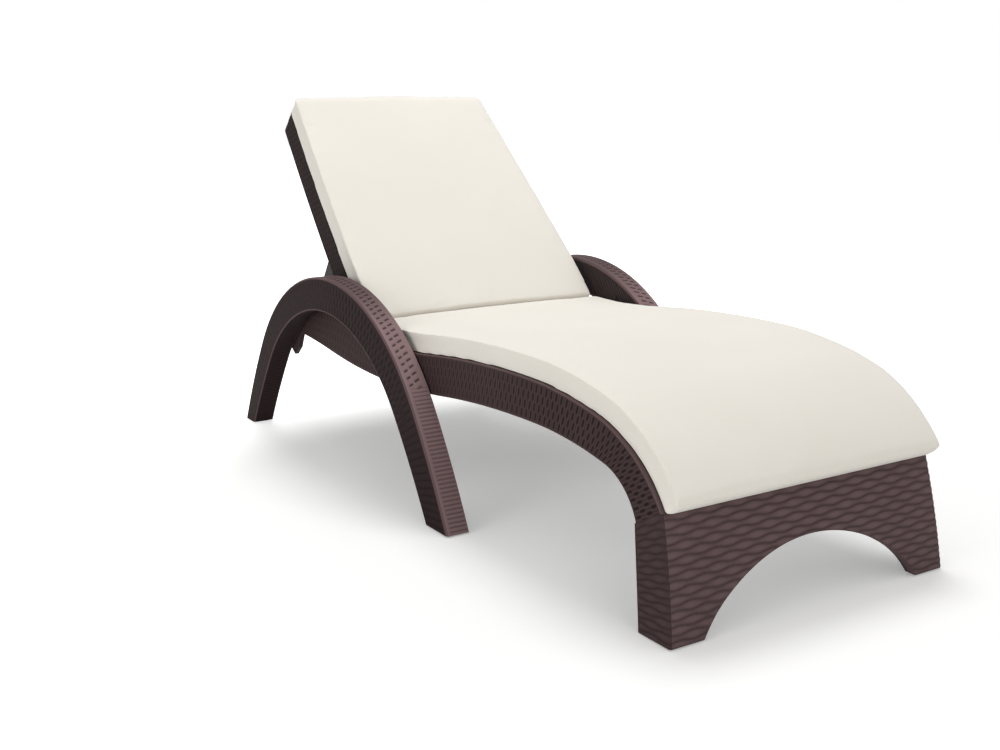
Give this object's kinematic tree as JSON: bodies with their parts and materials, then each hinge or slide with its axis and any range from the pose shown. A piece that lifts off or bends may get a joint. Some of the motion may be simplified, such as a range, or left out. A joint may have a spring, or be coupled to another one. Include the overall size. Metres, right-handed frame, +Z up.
{
  "type": "sun lounger",
  "caption": "Waved sun lounger of woven-look moulded resin with arched arms, a reclining backrest on a folding prop, and seat and back cushions.",
  "frame": {"origin": "centre of the footprint on the floor, midway along the length in the raised pose", "axes": "+Z up, +Y towards the head end, +X across, with the middle plane at X = 0"},
  "size_m": [0.75, 1.7262, 0.8584],
  "materials": {
    "woven_resin": "woven relief",
    "plain_resin": "fine grain",
    "coated_tube": "powder coat",
    "glide_rubber": "matt",
    "bush_plastic": "smooth",
    "plain_steel": "satin",
    "insert_brass": "satin",
    "cushion_fabric": "plain weave"
  },
  "bodies": {
    "frame": {"front_leg_frame": "woven_resin", "front_foot_glides": "glide_rubber", "side_rail_left": "woven_resin", "side_rail_right": "woven_resin", "deck_foot_panel": "plain_resin", "deck_seat_panel": "plain_resin", "knee_cross_tube": "coated_tube", "hip_cross_tube": "coated_tube", "rear_cross_beam": "plain_resin", "arch_shell_left": "woven_resin", "arch_shell_right": "woven_resin", "arch_cover_left": "plain_resin", "arch_cover_right": "plain_resin", "arch_foot_glides": "glide_rubber", "arch_bolts": "plain_steel", "arch_inserts": "insert_brass", "arch_cover_screws": "plain_steel", "leg_joint_screws": "plain_steel", "catch_left": "plain_resin", "catch_right": "plain_resin", "catch_screws": "plain_steel", "flat_stop_pads": "glide_rubber", "hinge_bushes": "bush_plastic", "seat_cushion": "cushion_fabric"},
    "backrest": {"back_shell": "woven_resin", "hinge_pins": "plain_steel", "stay_pivot_pins": "plain_steel", "back_cushion": "cushion_fabric"},
    "prop": {"stay_arm_left": "plain_resin", "stay_arm_right": "plain_resin", "stay_foot_bar": "coated_tube", "stay_foot_caps": "plain_resin"}
  },
  "joints": [
    {"name": "backrest_hinge", "type": "hinge", "parent": "frame", "child": "backrest", "pos_m": [0, 0.24595, 0.296], "axis": [1, 0, 0], "range_deg": [-39.5, 0]},
    {"name": "prop_hinge", "type": "hinge", "parent": "backrest", "child": "prop", "pos_m": [0, 0.452, 0.48583], "axis": [1, 0, 0], "range_deg": [0, 90]}
  ],
  "couplings": [
    {"joint": "prop_hinge", "follows": "backrest_hinge", "ratio": -2.278}
  ]
}
